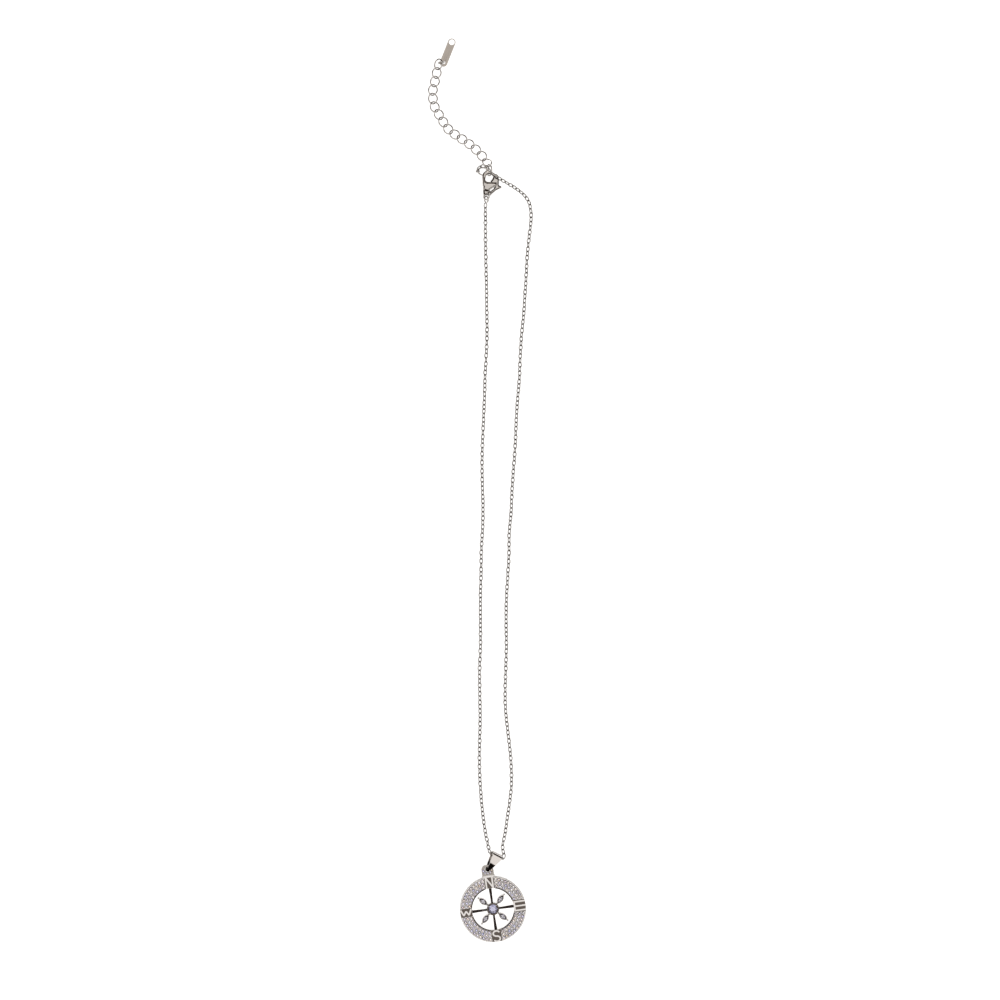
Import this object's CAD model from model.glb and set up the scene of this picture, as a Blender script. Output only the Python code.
import math

import bmesh
import bpy
from mathutils import Matrix, Vector
from mathutils.kdtree import KDTree


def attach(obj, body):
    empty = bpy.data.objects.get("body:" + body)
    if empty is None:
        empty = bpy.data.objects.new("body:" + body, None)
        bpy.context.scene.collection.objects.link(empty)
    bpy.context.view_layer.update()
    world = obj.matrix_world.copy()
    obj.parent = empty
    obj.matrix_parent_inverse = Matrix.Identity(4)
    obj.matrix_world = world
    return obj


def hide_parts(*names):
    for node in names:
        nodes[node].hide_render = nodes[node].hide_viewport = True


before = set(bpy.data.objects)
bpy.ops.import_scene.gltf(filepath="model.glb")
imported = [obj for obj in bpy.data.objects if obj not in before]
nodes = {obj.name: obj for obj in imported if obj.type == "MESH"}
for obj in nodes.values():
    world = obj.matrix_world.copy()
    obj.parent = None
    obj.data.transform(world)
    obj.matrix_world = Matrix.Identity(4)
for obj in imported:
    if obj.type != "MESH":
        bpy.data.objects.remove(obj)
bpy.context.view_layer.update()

MM = 0.001
NECKLACE, LEVER = "necklace", "lever"

# The compass: radii outside and inside, the lips' width, the heights of the paved field and the lips
COMPASS_TURN = math.radians(8)
OUTER_R, INNER_R, RIM_W = 10.55, 6.7, 0.33
FIELD_Z, LIP_Z = 1.75, 1.9
# The cup around the centre stone, and the bail's foot around the lug's hole, where the wheel doesn't reach
CUP_R, BAIL_FOOT_R = 2.3, 2.2
# The paving: a stone's diameter, and the gap to the next stone, to the lip and to a letter's plate
PAVE_D, PAVE_GAP, LIP_GAP, PLATE_GAP = 0.95, 0.1, 0.05, 0.08
# Compass angle and half width of each letter's plate
PLATES = ((0, 1.95), (90, 1.6), (180, 1.35), (270, 1.6), (360, 1.95))
# The lug: the hole's distance from the compass's middle, and the half oval of stones around the hole
LUG_OUT = OUTER_R + 2.25
LUG_STONES, LUG_STONES_R, LUG_OVAL, LUG_TOP = 5, 1.28, 1.12, 1.7
# The clasp's place and turn, and in the clasp's own frame its rivet's place and half the rivet's height
CLASP_AT = Vector((-2.1, 227.6, 1.0))
CLASP_TURN = Matrix.Rotation(math.radians(-5), 3, "Z") @ Matrix.Rotation(math.radians(12), 3, "X")
RIVET_X, RIVET_Y, RIVET_HALF = 0.9, 1.05, 0.8
# The tag's heading in plan
TAG_HEADING = math.radians(-21.3)


def on_compass(radius, degrees, z):
    """A point on the compass, which lies turned on the table."""
    a = math.radians(degrees) + COMPASS_TURN
    return Vector((radius * math.cos(a), radius * math.sin(a), z))


# Materials

def linear(hex_colour):
    """An sRGB hex colour as linear RGBA."""
    values = [int(hex_colour[i:i + 2], 16) / 255 for i in (1, 3, 5)]
    return tuple(v / 12.92 if v <= 0.04045 else ((v + 0.055) / 1.055) ** 2.4 for v in values) + (1.0,)


def add(tree, kind, links=(), **settings):
    """Adds a node; settings name its properties or its inputs, links are (input, output socket) pairs."""
    node = tree.nodes.new(kind)
    for name, value in settings.items():
        if hasattr(node, name):
            setattr(node, name, value)
        else:
            node.inputs[name.replace("_", " ").title()].default_value = value
    for socket, source in links:
        tree.links.new(source, node.inputs[socket])
    return node


def new_material(name):
    """A material with a Principled surface, its node tree and that surface's shader."""
    material = bpy.data.materials.new(name)
    material.use_nodes = True
    return material, material.node_tree, material.node_tree.nodes["Principled BSDF"]


def per_mm(size):
    """A texture scale, in turns per metre, for a pattern of this size in millimetres."""
    return 1000.0 / size


def plated_metal(name, colour, roughness, wave_mm, wave_height_mm, wear_mm):
    """Rhodium over polished brass. The plate is bright and hard; hand polishing leaves it very slightly wavy,
    and handling leaves faint cloudy patches where the gloss is a little lower."""
    material, tree, shader = new_material(name)
    shader.inputs["Base Color"].default_value = linear(colour)
    shader.inputs["Metallic"].default_value = 1.0
    place = add(tree, "ShaderNodeTexCoord").outputs["Object"]
    patches = add(tree, "ShaderNodeTexNoise", [("Vector", place)],
                  scale=per_mm(wear_mm), detail=3.0, roughness=0.6)
    gloss = add(tree, "ShaderNodeMapRange", [("Value", patches.outputs["Fac"])],
                from_min=0.35, from_max=0.7, to_min=roughness * 0.7, to_max=roughness * 1.5)
    tree.links.new(gloss.outputs["Result"], shader.inputs["Roughness"])
    waves = add(tree, "ShaderNodeTexNoise", [("Vector", place)],
                scale=per_mm(wave_mm), detail=1.5, roughness=0.45)
    bump = add(tree, "ShaderNodeBump", [("Height", waves.outputs["Fac"])],
               strength=1.0, distance=wave_height_mm * MM)
    tree.links.new(bump.outputs["Normal"], shader.inputs["Normal"])
    return material


def satin_tag_metal():
    """Stamped stainless strip, tumbled satin: a soft grey with a warm cast and a fine grain along it."""
    material, tree, shader = new_material("stainless_strip_tumbled_satin")
    shader.inputs["Metallic"].default_value = 1.0
    place = add(tree, "ShaderNodeTexCoord").outputs["Object"]
    lengthways = add(tree, "ShaderNodeMapping", [("Vector", place)], vector_type="TEXTURE")
    lengthways.inputs["Rotation"].default_value = (0, 0, TAG_HEADING)
    lengthways.inputs["Scale"].default_value = (1.0, 6.0, 1.0)
    # Tumbling marks are about 0.05 mm wide; they are drawn 0.12 mm wide to show.
    grain = add(tree, "ShaderNodeTexNoise", [("Vector", lengthways.outputs["Vector"])],
                scale=per_mm(0.12), detail=3.0)
    tone = add(tree, "ShaderNodeValToRGB", [("Fac", grain.outputs["Fac"])])
    darker, lighter = tone.color_ramp.elements
    darker.position, darker.color = 0.3, linear("#9D958D")
    lighter.position, lighter.color = 0.72, linear("#ABA39B")
    tree.links.new(tone.outputs["Color"], shader.inputs["Base Color"])
    gloss = add(tree, "ShaderNodeMapRange", [("Value", grain.outputs["Fac"])], to_min=0.3, to_max=0.5)
    tree.links.new(gloss.outputs["Result"], shader.inputs["Roughness"])
    bump = add(tree, "ShaderNodeBump", [("Height", grain.outputs["Fac"])], strength=0.5, distance=0.006 * MM)
    tree.links.new(bump.outputs["Normal"], shader.inputs["Normal"])
    return material


def cut_stone(name, *casts):
    """Brilliant-cut cubic zirconia: clear, with a high index that throws white and dark flashes. Each stone
    takes its own cast, which stands for the way that it happens to flash: white, in a colour, or dark.
    The casts are pairs: the share of the stones where one begins, and its colour."""
    material, tree, shader = new_material(name)
    which = add(tree, "ShaderNodeNewGeometry").outputs["Random Per Island"]
    cast = add(tree, "ShaderNodeValToRGB", [("Fac", which)])
    cast.color_ramp.interpolation = "CONSTANT"
    stops = cast.color_ramp.elements
    stops[0].color = linear(casts[0][1])
    stops[1].position, stops[1].color = casts[-1][0], linear(casts[-1][1])
    for share, colour in casts[1:-1]:
        stops.new(share).color = linear(colour)
    tree.links.new(cast.outputs["Color"], shader.inputs["Base Color"])
    shader.inputs["Transmission Weight"].default_value = 1.0
    shader.inputs["IOR"].default_value = 2.15
    shader.inputs["Roughness"].default_value = 0.0
    return material


def light_table():
    """The opal acrylic table that the piece lies on: matt white, and lit softly from beneath."""
    material, _, shader = new_material("opal_acrylic_light_table")
    shader.inputs["Base Color"].default_value = linear("#F4F4F3")
    shader.inputs["Roughness"].default_value = 0.9
    shader.inputs["Specular IOR Level"].default_value = 0.1
    shader.inputs["Emission Color"].default_value = linear("#FFFFFF")
    shader.inputs["Emission Strength"].default_value = 0.72
    return material


def casting_metal(name, colour, ground, lug_ground, roughness):
    """The compass casting. A polishing wheel can't reach the ground around the letters, so it stays dull and
    dark from the casting, and the rims, letters and arms that it does reach are bright. The lug's stones are
    set in metal that the graver has cut, which is greyer than either."""
    material = plated_metal(name, colour, roughness, wave_mm=0.9, wave_height_mm=0.006, wear_mm=2.5)
    tree = material.node_tree
    place = add(tree, "ShaderNodeTexCoord").outputs["Object"]
    height = add(tree, "ShaderNodeSeparateXYZ", [("Vector", place)]).outputs["Z"]
    plan = add(tree, "ShaderNodeVectorMath", [(0, place)], operation="MULTIPLY")
    plan.inputs[1].default_value = (1, 1, 0)
    from_middle = add(tree, "ShaderNodeVectorMath", [(0, plan.outputs["Vector"])], operation="LENGTH")
    radius = from_middle.outputs["Value"]
    past_inner = add(tree, "ShaderNodeMapRange", [("Value", radius)],
                     from_min=(INNER_R + 0.02) * MM, from_max=(INNER_R + 0.1) * MM)
    before_outer = add(tree, "ShaderNodeMapRange", [("Value", radius)], to_min=1.0, to_max=0.0,
                       from_min=(OUTER_R - 0.09) * MM, from_max=(OUTER_R - 0.03) * MM)
    below_letters = add(tree, "ShaderNodeMapRange", [("Value", height)], to_min=1.0, to_max=0.0,
                        from_min=(FIELD_Z - 0.25) * MM, from_max=(FIELD_Z - 0.13) * MM)
    on_band = add(tree, "ShaderNodeMath", operation="MULTIPLY",
                  links=[(0, past_inner.outputs["Result"]), (1, before_outer.outputs["Result"])])
    on_plates = add(tree, "ShaderNodeMath", operation="MULTIPLY",
                    links=[(0, on_band.outputs["Value"]), (1, below_letters.outputs["Result"])])
    # The wheel also misses the cup that holds the centre stone, and the rim between its claws.
    in_cup = add(tree, "ShaderNodeMapRange", [("Value", radius)], to_min=1.0, to_max=0.0,
                 from_min=CUP_R * MM, from_max=(CUP_R + 0.15) * MM)
    on_ground = add(tree, "ShaderNodeMath", operation="MAXIMUM",
                    links=[(0, on_plates.outputs["Value"]), (1, in_cup.outputs["Result"])])
    tone = add(tree, "ShaderNodeMix", [("Factor", on_ground.outputs["Value"])], data_type="RGBA")
    tone.inputs["A"].default_value = linear(colour)
    tone.inputs["B"].default_value = linear(ground)
    on_lug = add(tree, "ShaderNodeMapRange", [("Value", radius)],
                 from_min=(OUTER_R + 0.15) * MM, from_max=(OUTER_R + 0.45) * MM)
    with_lug = add(tree, "ShaderNodeMix", data_type="RGBA",
                   links=[("Factor", on_lug.outputs["Result"]), ("A", tone.outputs["Result"])])
    with_lug.inputs["B"].default_value = linear(lug_ground)
    tree.links.new(with_lug.outputs["Result"], tree.nodes["Principled BSDF"].inputs["Base Color"])
    return material


def bail_metal(name, colour, foot, roughness):
    """The bail's pressed sheet: polished outside, and dull and dark at its foot, around the lug's hole, where
    the lug keeps the wheel away."""
    material = plated_metal(name, colour, roughness, wave_mm=1.6, wave_height_mm=0.004, wear_mm=3.0)
    tree = material.node_tree
    place = add(tree, "ShaderNodeTexCoord").outputs["Object"]
    plan = add(tree, "ShaderNodeVectorMath", [(0, place)], operation="MULTIPLY")
    plan.inputs[1].default_value = (1, 1, 0)
    reach = add(tree, "ShaderNodeVectorMath", [(0, plan.outputs["Vector"])], operation="DISTANCE")
    reach.inputs[1].default_value = on_compass(LUG_OUT, 90, 0) * MM
    polished = add(tree, "ShaderNodeMapRange", [("Value", reach.outputs["Value"])],
                   from_min=BAIL_FOOT_R * MM, from_max=(BAIL_FOOT_R + 0.55) * MM)
    tone = add(tree, "ShaderNodeMix", [("Factor", polished.outputs["Result"])], data_type="RGBA")
    tone.inputs["A"].default_value = linear(foot)
    tone.inputs["B"].default_value = linear(colour)
    tree.links.new(tone.outputs["Result"], tree.nodes["Principled BSDF"].inputs["Base Color"])
    return material


frame_plate = casting_metal("rhodium_plate_compass_casting", "#BEBAB7", "#504944", "#8A8580", roughness=0.1)
# Raised beads are burnished as the stones are set, so they are the brightest metal.
bead_plate = plated_metal("rhodium_plate_raised_beads", "#D0CDCA", roughness=0.08,
                          wave_mm=0.9, wave_height_mm=0.002, wear_mm=2.5)
sheet_plate = bail_metal("rhodium_plate_pressed_sheet", "#C4C0BD", "#3E3833", roughness=0.06)
# Drawn wire is smooth, with clear dark and bright lines along it.
wire_plate = plated_metal("rhodium_plate_drawn_wire", "#B9B5B1", roughness=0.1,
                          wave_mm=1.2, wave_height_mm=0.003, wear_mm=2.0)
# Links this fine are only tumbled, so they are greyer and a little softer than the larger ones.
chain_plate = plated_metal("rhodium_plate_fine_chain_wire", "#A09C98", roughness=0.12,
                           wave_mm=0.8, wave_height_mm=0.003, wear_mm=2.0)
# The clasp is cast and tumbled: grey, with broad slow waves in what it mirrors.
clasp_plate = plated_metal("rhodium_plate_clasp_casting", "#A9A49F", roughness=0.09,
                           wave_mm=1.4, wave_height_mm=0.01, wear_mm=2.2)
tag_metal = satin_tag_metal()
paving_stone = cut_stone("cubic_zirconia_paving", (0, "#FFFFFF"), (0.42, "#A6A6EA"), (0.6, "#EEC696"),
                         (0.8, "#85839E"))
main_stone = cut_stone("cubic_zirconia_main_stones", (0, "#A8A8BE"), (0.5, "#B6B0B2"))
centre_stone = cut_stone("cubic_zirconia_centre_stone", (0, "#A09FB8"))


# Meshes that the pieces are made of

def metal_piece(name, verts, faces, material, smooth=True):
    """A mesh object from points in metres."""
    mesh = bpy.data.meshes.new(name)
    mesh.from_pydata([tuple(v) for v in verts], [], faces)
    mesh.validate()
    mesh.polygons.foreach_set("use_smooth", [smooth] * len(mesh.polygons))
    mesh.materials.append(material)
    piece = bpy.data.objects.new(name, mesh)
    bpy.context.scene.collection.objects.link(piece)
    return piece


def wire_round(points, wire, sides, verts, faces):
    """Adds a closed ring of round wire, in millimetres, along a loop of points."""
    n, first = len(points), len(verts)
    middle = sum(points, Vector()) / n
    for i, p in enumerate(points):
        t = (points[(i + 1) % n] - points[i - 1]).normalized()
        out = p - middle
        out = (out - t * out.dot(t)).normalized()
        side = t.cross(out)
        for k in range(sides):
            a = k * math.tau / sides
            verts.append((p + wire / 2 * (math.cos(a) * out + math.sin(a) * side)) * MM)
    for i in range(n):
        r, s = first + i * sides, first + (i + 1) % n * sides
        faces.extend([(r + k, s + k, s + (k + 1) % sides, r + (k + 1) % sides) for k in range(sides)])


def oval(length, width, wire, twist, steps):
    """An oval of wire, long along X, whose wire turns by twist towards its ends, as points in millimetres."""
    points = []
    for i in range(steps):
        c, s = math.cos(i * math.tau / steps), math.sin(i * math.tau / steps)
        a, y = math.radians(twist) * c, (width - wire) / 2 * s
        points.append(Vector(((length - wire) / 2 * c, y * math.cos(a), y * math.sin(a))))
    return points


def laid(points, at, heading, rise, roll):
    """Points laid at a place: heading in plan from +X, then their rise and their roll, in degrees."""
    turn = (Matrix.Rotation(math.radians(heading), 3, "Z") @ Matrix.Rotation(math.radians(-rise), 3, "Y")
            @ Matrix.Rotation(math.radians(roll), 3, "X"))
    return [turn @ p + Vector(at) for p in points]


def dome(at, radius, height, verts, faces, up=Vector((0, 0, 1)), sides=8, rows=3):
    """Adds a rounded bead in millimetres, standing on its widest circle, with a short skirt below it."""
    side = up.orthogonal().normalized()
    front = up.cross(side)
    first = len(verts)
    rings = [(1.0, -0.5 * radius)]
    for i in range(rows):
        a = i * math.pi / 2 / rows
        rings.append((math.cos(a), height * math.sin(a)))
    for reach, rise in rings:
        for k in range(sides):
            a = k * math.tau / sides
            verts.append((at + radius * reach * (math.cos(a) * side + math.sin(a) * front) + up * rise) * MM)
    verts.append((at + up * height) * MM)
    for i in range(len(rings) - 1):
        for k in range(sides):
            r, t, m = first + i * sides, first + (i + 1) * sides, (k + 1) % sides
            faces.append((r + k, r + m, t + m, t + k))
    top = first + len(rings) * sides
    faces.extend([(top - sides + k, top - sides + (k + 1) % sides, top) for k in range(sides)])


# The CAD's own nodes

def finish_node(name, material, edge_mm=0.0):
    """Gives a node its material. Where edge_mm is set its edges are rounded as polishing rounds them."""
    piece = nodes[name]
    piece.data.materials.clear()
    piece.data.materials.append(material)
    if edge_mm:
        weld = piece.modifiers.new("weld", "WELD")
        weld.merge_threshold = 0.0005 * MM
        bevel = piece.modifiers.new("worn_edges", "BEVEL")
        bevel.width = edge_mm * MM
        bevel.segments = 2
        bevel.limit_method = "ANGLE"
        bevel.angle_limit = math.radians(40)
        bevel.use_clamp_overlap = True
        bevel.miter_outer = "MITER_ARC"


def clasp_casting(node, body, slope_low, outline_over):
    """A clasp part as it leaves the tumbler: the node's own outline, with every edge cast as a broad slope
    that mirrors the dark walls, and a skin without corners. Below the hook only sides that rise past
    outline_over count as its outline, so the lever's slot inside the body leaves no mark on the faces."""
    skin_mm, upright, hook_from, slope_wide, slope_power, tumbling = 0.07, 0.5, 5.0, 0.55, 1.3, 14
    skin = bpy.data.objects.new(node + "_skin", nodes[node].data.copy())
    bpy.context.scene.collection.objects.link(skin)
    cast = skin.modifiers.new("cast_skin", "REMESH")
    cast.mode = "VOXEL"
    cast.voxel_size = skin_mm * MM
    mesh = bpy.data.meshes.new_from_object(skin.evaluated_get(bpy.context.evaluated_depsgraph_get()))
    bpy.data.objects.remove(skin)
    lying = CLASP_TURN.inverted()
    local = [lying @ (v.co / MM - CLASP_AT) for v in mesh.vertices]
    sides = [p for p, v in zip(local, mesh.vertices)
             if abs((lying @ v.normal).z) < upright and (abs(p.z) > outline_over or p.y > hook_from)]
    outline = KDTree(len(sides))
    for k, p in enumerate(sides):
        outline.insert((p.x, p.y, 0), k)
    outline.balance()
    for p, v in zip(local, mesh.vertices):
        from_side = outline.find((p.x, p.y, 0))[2]
        p.z *= 1 - slope_low * max(0.0, 1 - from_side / slope_wide) ** slope_power
        v.co = (CLASP_TURN @ p + CLASP_AT) * MM
    mesh.polygons.foreach_set("use_smooth", [True] * len(mesh.polygons))
    mesh.materials.clear()
    mesh.materials.append(clasp_plate)
    piece = bpy.data.objects.new(node + "_casting", mesh)
    bpy.context.scene.collection.objects.link(piece)
    flow = piece.modifiers.new("tumbled", "SMOOTH")
    flow.factor = 0.5
    flow.iterations = tumbling
    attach(piece, body)
    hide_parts(node)


finish_node("compass_frame", frame_plate, edge_mm=0.06)
finish_node("bail", sheet_plate, edge_mm=0.05)
clasp_casting("clasp_body", NECKLACE, slope_low=0.44, outline_over=0.6)
clasp_casting("clasp_lever", LEVER, slope_low=0.72, outline_over=0.0)
finish_node("clasp_rivet", wire_plate)
finish_node("tag", tag_metal, edge_mm=0.05)
finish_node("pave_stones", paving_stone)
finish_node("centre_stone", centre_stone)
for stone in ("stone_ne", "stone_nw", "stone_sw", "stone_se"):
    finish_node(stone, main_stone)


# Rings and links of the clasp and the extender

# Each ring's length, width and wire, its place, and its heading, rise and roll
RINGS = {
    "clasp_ring": ((2.5, 2.5, 0.42), (-2.14, 226.78, 1.07), (92, 2, 56)),
    "chain_end_ring": ((1.46, 1.46, 0.36), (-4.87, 235.83, 0.71), (0.4, -0.4, -49.8)),
    "chain_end_link": ((3.96, 3.18, 0.42), (-3.11, 235.71, 1.14), (-3.5, 14.6, 37.2)),
    "tag_ring": ((2.3, 2.2, 0.34), (-16.544, 270.451, 1.26), (8.3, -13.6, 82.8)),
    "extender_link_01": ((3.95, 3.7, 0.42), (-1.21, 235.96, 2.76), (97, -6, -59.5)),
}
LINKS = 16
PITCH = 2.77
LINK = (3.86, 3.18, 0.42)
WIRE_STEPS, WIRE_SIDES = 48, 14
# A link's own twist lets it lie flat and still pass through the next; flat links lie at LINK_Z.
LINK_TWIST, LINK_Z = 30, 0.56
# The links that lean on a neighbour: their shift in plan, height, heading, rise, roll and twist
LEANING = {
    2: (-0.09, -0.11, 1.77, 126.9, -27.5, 16.9, LINK_TWIST),
    3: (0.1, 0, 0.86, 130.9, -10, -0.3, LINK_TWIST),
    15: (0, 0, 0.76, 78.9, 7.8, 0, LINK_TWIST),
    16: (0, 0, 1.04, 80.5, 0.2, -30.5, 0),
}
# The extender's middle line in plan, from its second link to its last
EXTENDER_ROUTE = [(-1.77, 238.66), (-6.1, 243.5), (-10.9, 246.8), (-13.8, 248.6), (-16.5, 252.5),
                  (-19, 257.1), (-19.4, 261), (-18.5, 264.8), (-17.44, 270)]


def wire_link(node, size, at, heading, rise, roll, twist=0.0):
    """A round-wire ring or link that stands for a node of the same name and middle line."""
    length, width, wire = size
    verts, faces = [], []
    middle_line = laid(oval(length, width, wire, twist, WIRE_STEPS), at, heading, rise, roll)
    wire_round(middle_line, wire, WIRE_SIDES, verts, faces)
    piece = metal_piece(node + "_wire", verts, faces, wire_plate)
    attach(piece, NECKLACE)
    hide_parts(node)


def along(route, distance):
    """The point at a distance along straight stretches, in plan."""
    for i in range(len(route) - 1):
        a, b = Vector(route[i]), Vector(route[i + 1])
        step = (b - a).length
        if distance <= step or i == len(route) - 2:
            return a + (b - a) * distance / step
        distance -= step


def heading_at(route, distance):
    """The heading of a link whose middle is at a distance along the route, in degrees."""
    v = along(route, distance + PITCH / 2) - along(route, max(0.0, distance - PITCH / 2))
    return math.degrees(math.atan2(v.y, v.x))


for name, (size, at, turns) in RINGS.items():
    wire_link(name, size, at, *turns)
for k in range(2, LINKS + 1):
    distance = (k - 2) * PITCH
    x, y = along(EXTENDER_ROUTE, distance)
    if k in LEANING:
        shift_x, shift_y, z, heading, rise, roll, twist = LEANING[k]
        wire_link(f"extender_link_{k:02d}", LINK, (x + shift_x, y + shift_y, z), heading, rise, roll, twist)
    else:
        heading = heading_at(EXTENDER_ROUTE, distance)
        wire_link(f"extender_link_{k:02d}", LINK, (x, y, LINK_Z), heading, 0, 0, LINK_TWIST)


# Beads, claws, rivet heads and the rolled lip

# The claw ends at each pointed stone's compass angle: distance from the middle, height, radius and rise.
# The first is over the centre stone, the others are at the pointed stone's outer and inner end.
CLAW_ANGLES = (45, 135, 225, 315)
CLAWS = ((1.64, 2.06, 0.27, 0.2), (5.85, 1.9, 0.27, 0.22), (2.42, 1.42, 0.2, 0.16))
# The rolled lip's section: distance past the inner radius and height over the lip
LIP_SECTION = ((-0.02, -0.08), (-0.02, -0.03), (0.25, 0.15), (0.33, 0.02), (0.33, -0.08))


def field_ends(radius, margin):
    """Where each paved field begins and ends at a radius, a margin away from the letters' plates."""
    return [(a + math.degrees(math.asin((wide + margin) / radius)),
             b - math.degrees(math.asin((next_wide + margin) / radius)))
            for (a, wide), (b, next_wide) in zip(PLATES, PLATES[1:])]


def grain_beads():
    """The grains that hold the paving: two in each gap of a row, raised from the metal and rounded, and two
    in each gap of the lug's stones."""
    verts, faces = [], []
    field_bead, field_rise, off_row = 0.15, 0.12, 0.4
    first_row = INNER_R + RIM_W + LIP_GAP + PAVE_D / 2
    last_row = OUTER_R - RIM_W - LIP_GAP - PAVE_D / 2
    for r in (first_row, (first_row + last_row) / 2, last_row):
        for start, end in field_ends(r, PAVE_D / 2 + PLATE_GAP):
            n = int(math.radians(end - start) * r / (PAVE_D + PAVE_GAP))
            for i in range(n):
                at = start + (i + 0.5) * (end - start) / n
                for m in (-1, 1):
                    dome(on_compass(r + m * off_row, at, FIELD_Z), field_bead, field_rise, verts, faces)
    lug_step, lug_off, lug_rise = 37.5, 0.3, 0.1
    for i in range(LUG_STONES - 1):
        a = math.radians(-90 + (i - (LUG_STONES - 2) / 2) * lug_step)
        for r, bead in ((LUG_STONES_R - lug_off, 0.09), (LUG_STONES_R + lug_off, 0.12)):
            x, y = LUG_OVAL * r * math.cos(a), LUG_OUT + r * math.sin(a)
            at = on_compass(math.hypot(x, y), math.degrees(math.atan2(y, x)), LUG_TOP)
            dome(at, bead, lug_rise, verts, faces)
    return metal_piece("grain_beads", verts, faces, bead_plate)


def claw_tips():
    """Rounded claw ends: four over the centre stone and one at each end of the pointed stones."""
    verts, faces = [], []
    for a in CLAW_ANGLES:
        for reach, z, radius, rise in CLAWS:
            dome(on_compass(reach, a, z), radius, rise, verts, faces, sides=12, rows=4)
    return metal_piece("claw_tips", verts, faces, bead_plate)


def rivet_heads():
    """The clasp's rivet, headed over on both sides."""
    verts, faces = [], []
    head_r, head_rise = 0.42, 0.16
    for m in (-1, 1):
        at = CLASP_AT + CLASP_TURN @ Vector((RIVET_X, RIVET_Y, m * RIVET_HALF))
        dome(at, head_r, head_rise, verts, faces, up=CLASP_TURN @ Vector((0, 0, m)), sides=20, rows=4)
    return metal_piece("rivet_heads", verts, faces, clasp_plate)


def inner_lip_roll():
    """The burnished roll along each paved field's inner lip: a slope towards the middle, and a steep back."""
    verts, faces = [], []
    steps, n, plate_gap = 36, len(LIP_SECTION), 0.04
    for start, end in field_ends(INNER_R, plate_gap):
        first = len(verts)
        for i in range(steps + 1):
            at = start + (end - start) * i / steps
            verts.extend([on_compass(INNER_R + r, at, LIP_Z + z) * MM for r, z in LIP_SECTION])
        for i in range(steps):
            for k in range(n):
                p, q = first + i * n + k, first + i * n + (k + 1) % n
                faces.append((p, q, q + n, p + n))
        faces.append(tuple(first + k for k in reversed(range(n))))
        faces.append(tuple(first + steps * n + k for k in range(n)))
    return metal_piece("inner_lip_roll", verts, faces, wire_plate, smooth=False)


for piece in (grain_beads(), claw_tips(), rivet_heads(), inner_lip_roll()):
    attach(piece, NECKLACE)


# The fine cable chain

FINE_LENGTH, FINE_WIDTH, FINE_WIRE, FINE_PITCH = 2.05, 1.5, 0.34, 1.37
# How far the first link's end stands before its route's first point
FINE_START = 0.3
FINE_STEPS, FINE_SIDES = 16, 7
# Each link's roll to either side, and what the slow wave, the quick one and the swing add, in degrees
SIDE_ROLL, SLOW_ROLL, QUICK_ROLL, SWING = 45, 14, 6, 3.5
# How much further along its wave each next link is, in radians
SLOW_STEP, QUICK_STEP, SWING_STEP = 0.13, 1.7, 2.3
# A link's direction is taken between the route's points this many ahead of it and behind it.
AHEAD, BEHIND = 4, 3
# Chosen points of each run, with a height where the chain doesn't lie on the table. It lies at LYING.
LYING = 0.68
LEFT_ROUTE = [
    (-2.3, 225.55, 0.75), (-2.45, 224.2, 0.65), (-2.4, 221), (-2.4, 215), (-2.3, 208), (-2.1, 200), (-2, 192),
    (-1.9, 185), (-2.1, 178), (-2.5, 171), (-2.7, 164), (-3, 157), (-3.3, 150), (-3.5, 143), (-3.4, 136),
    (-3.2, 129), (-3.3, 122), (-3.7, 115), (-3.8, 108), (-4, 100), (-4, 92), (-4, 84), (-4.3, 76), (-4.2, 68),
    (-4.1, 60), (-4.3, 52), (-4.3, 45), (-4, 38.5), (-3.5, 32.5), (-2.9, 27.5), (-2.4, 24.3, 0.72),
    (-2, 22.3, 1), (-1.65, 20.8, 1.5), (-1.4, 19.6, 2.1), (-1.2, 18.75, 2.62), (-0.9, 18.2, 2.85),
    (-0.35, 17.8, 2.68), (0.25, 17.47, 2.4), (1.04, 17.02, 2.08)]
RIGHT_ROUTE = [
    (1.1, 16.98, 2.05), (2, 16.44, 1.67), (2.6, 16.08, 1.38), (3.15, 16.12, 1.05), (3.45, 16.7, 0.85),
    (3.42, 17.6, 0.72), (3.22, 18.6), (3.08, 19.7), (3.2, 21), (3.6, 22.8), (4.1, 25.5), (4.5, 28.5),
    (5.3, 34), (5.9, 40), (5.8, 46), (5.3, 52), (4.6, 58), (4, 64), (3.9, 70), (4.1, 77),
    (4.3, 84), (4.2, 92), (4.3, 99), (4.7, 106), (5.1, 113), (5.2, 120), (5.8, 127), (6.1, 134), (6.6, 141),
    (7.1, 148), (7.4, 155), (7.8, 162), (8.4, 169), (8.7, 176), (9.1, 183), (9.8, 190), (10.2, 196),
    (10.6, 202), (10.9, 208), (11.4, 213.5), (12, 218.5), (12.2, 222), (11.6, 225.6), (10.2, 227.9),
    (8.2, 229.7), (5.8, 231.3), (3.2, 232.8), (0.6, 234.5), (-1, 235.7), (-1.79, 236.99), (-2.89, 237.44),
    (-4.0, 237.2), (-4.72, 236.6)]


def smooth_route(route, step=0.1):
    """Points about every step millimetres along a smooth curve through the route."""
    knots = [Vector((p[0], p[1], p[2] if len(p) > 2 else LYING)) for p in route]
    fine = []
    for i in range(len(knots) - 1):
        a, b = knots[max(0, i - 1)], knots[i]
        c, d = knots[i + 1], knots[min(len(knots) - 1, i + 2)]
        parts = max(2, int((c - b).length / step))
        for j in range(parts):
            u = j / parts
            fine.append(0.5 * (2 * b + (c - a) * u + (2 * a - 5 * b + 4 * c - d) * u * u
                               + (3 * b - a - 3 * c + d) * u ** 3))
    fine.append(knots[-1])
    return fine


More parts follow.
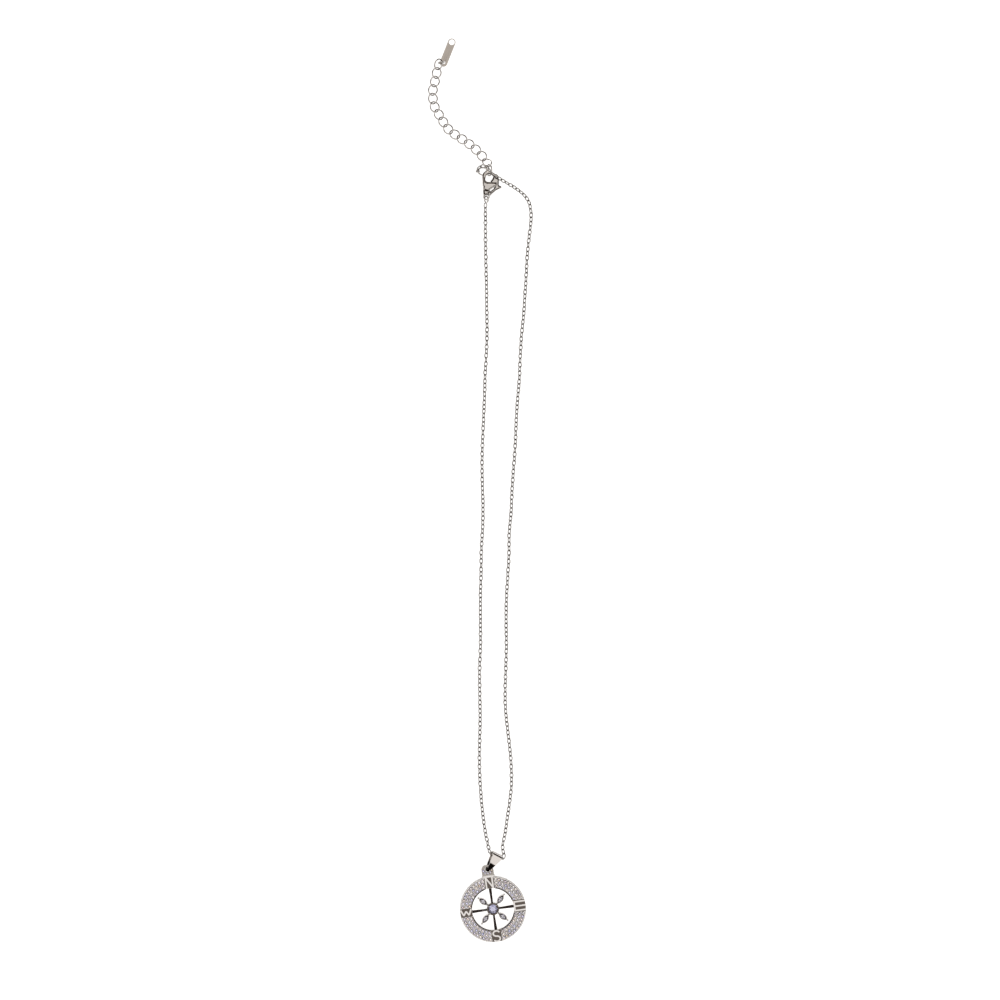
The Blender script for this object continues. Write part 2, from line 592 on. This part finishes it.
def cable_chain(name, node, route, drift):
    """Fine cable chain: oval links of round wire, each turned a quarter from the last, lying on two edges.
    Waves let the links roll and swing a little, as in a lying chain, and drift makes the runs differ."""
    fine = smooth_route(route)
    marks = [0.0]
    for a, b in zip(fine, fine[1:]):
        marks.append(marks[-1] + (b - a).length)
    count = int((marks[-1] - FINE_LENGTH / 2) / FINE_PITCH)
    verts, faces = [], []
    i = 0
    for k in range(count + 1):
        s = FINE_LENGTH / 2 - FINE_START + k * FINE_PITCH
        while i < len(marks) - 2 and marks[i + 1] < s:
            i += 1
        at = fine[i].lerp(fine[i + 1], (s - marks[i]) / (marks[i + 1] - marks[i]))
        t = (fine[min(i + AHEAD, len(fine) - 1)] - fine[max(i - BEHIND, 0)]).normalized()
        level = Vector((-t.y, t.x, 0)).normalized()
        up = t.cross(level)
        roll = math.radians((SIDE_ROLL if k % 2 else -SIDE_ROLL) + SLOW_ROLL * math.sin(SLOW_STEP * k + drift)
                            + QUICK_ROLL * math.sin(QUICK_STEP * k))
        yaw = math.radians(SWING * math.sin(SWING_STEP * k + drift))
        lengthways = (t * math.cos(yaw) + level * math.sin(yaw)).normalized()
        across = (level * math.cos(yaw) - t * math.sin(yaw)) * math.cos(roll) + up * math.sin(roll)
        points = [at + lengthways * p.x + across * p.y
                  for p in oval(FINE_LENGTH, FINE_WIDTH, FINE_WIRE, 0, FINE_STEPS)]
        wire_round(points, FINE_WIRE, FINE_SIDES, verts, faces)
    piece = metal_piece(name, verts, faces, chain_plate)
    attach(piece, NECKLACE)
    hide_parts(node)


cable_chain("fine_chain_left", "chain_left", LEFT_ROUTE, drift=0.4)
cable_chain("fine_chain_right", "chain_right", RIGHT_ROUTE, drift=1.9)


# Table, camera and light, all in metres

# The middle of the view on the table, and how much of the table it shows
VIEW_MIDDLE, VIEW_WIDE = Vector((0.00224, 0.1307, 0.0)), 0.320
LENS, SENSOR = 100, 36
# A place within the bail, which the front card is aimed at
BAIL_AIM = Vector((0, 0.018, 0.003))


def soft_light(name, at, target, width, height, power, colour):
    """A rectangular soft light at a place, aimed at a target, in metres and watts."""
    light = bpy.data.lights.new(name, "AREA")
    light.shape = "RECTANGLE"
    light.size, light.size_y = width, height
    light.energy = power
    light.color = linear(colour)[:3]
    lamp = bpy.data.objects.new(name, light)
    lamp.location = at
    lamp.rotation_euler = (target - at).to_track_quat("-Z", "Y").to_euler()
    bpy.context.scene.collection.objects.link(lamp)


table_mesh = bpy.data.meshes.new("paper")
bm = bmesh.new()
bmesh.ops.create_grid(bm, x_segments=1, y_segments=1, size=3.0)
bm.to_mesh(table_mesh)
bm.free()
table = bpy.data.objects.new("paper", table_mesh)
table_mesh.materials.append(light_table())
table.location = (VIEW_MIDDLE.x, VIEW_MIDDLE.y, -0.02 * MM)
bpy.context.scene.collection.objects.link(table)

camera = bpy.data.cameras.new("camera")
camera.lens, camera.sensor_width = LENS, SENSOR
camera.clip_start, camera.clip_end = 0.01, 20
eye = bpy.data.objects.new("camera", camera)
eye.location = VIEW_MIDDLE + Vector((0, 0, VIEW_WIDE * LENS / SENSOR))
bpy.context.scene.collection.objects.link(eye)
bpy.context.scene.camera = eye

# Four small lamps around the piece, each with its azimuth, size, power and colour
LAMPS_OUT, LAMPS_UP = 0.75, 0.85
for azimuth, size, power, colour in ((8, 0.28, 0.6, "#FFFFFF"), (98, 0.25, 0.5, "#FFF8F0"),
                                     (188, 0.28, 0.6, "#F8FAFF"), (278, 0.25, 0.5, "#FFFFFF")):
    a = math.radians(azimuth)
    at = VIEW_MIDDLE + Vector((math.cos(a) * LAMPS_OUT, math.sin(a) * LAMPS_OUT, LAMPS_UP))
    soft_light(f"softbox_{azimuth}", at, VIEW_MIDDLE, size, size, power, colour)

# A dim card low at the front right, which the bail's slanting face and its fold mirror
CARD_AWAY, CARD_AZIMUTH, CARD_RISE = 1.1, math.radians(328), math.radians(46)
card_way = Vector((math.cos(CARD_AZIMUTH) * math.cos(CARD_RISE), math.sin(CARD_AZIMUTH) * math.cos(CARD_RISE),
                   math.sin(CARD_RISE)))
soft_light("card_front_right", BAIL_AIM + CARD_AWAY * card_way, BAIL_AIM, 1.3, 0.42, 2.2, "#FFFDFA")

# The room: a pale ceiling straight above, dark walls, and dark below, where the table hides it
world = bpy.data.worlds.new("studio")
bpy.context.scene.world = world
world.use_nodes = True
room = world.node_tree
direction = add(room, "ShaderNodeTexCoord").outputs["Generated"]
height = add(room, "ShaderNodeSeparateXYZ", [("Vector", direction)])
shade = add(room, "ShaderNodeValToRGB", [("Fac", height.outputs["Z"])])
ramp = shade.color_ramp.elements
ramp[0].position, ramp[0].color = 0.0, linear("#2A211D")
ramp[1].position, ramp[1].color = 1.0, linear("#F3F2F1")
for position, colour in ((0.5, "#2A2220"), (0.72, "#3C3532"), (0.81, "#8A8683"), (0.9, "#E7E6E5")):
    ramp.new(position).color = linear(colour)
room.links.new(shade.outputs["Color"], room.nodes["Background"].inputs["Color"])
room.nodes["Background"].inputs["Strength"].default_value = 1.7

bpy.context.scene.view_settings.view_transform = "Standard"
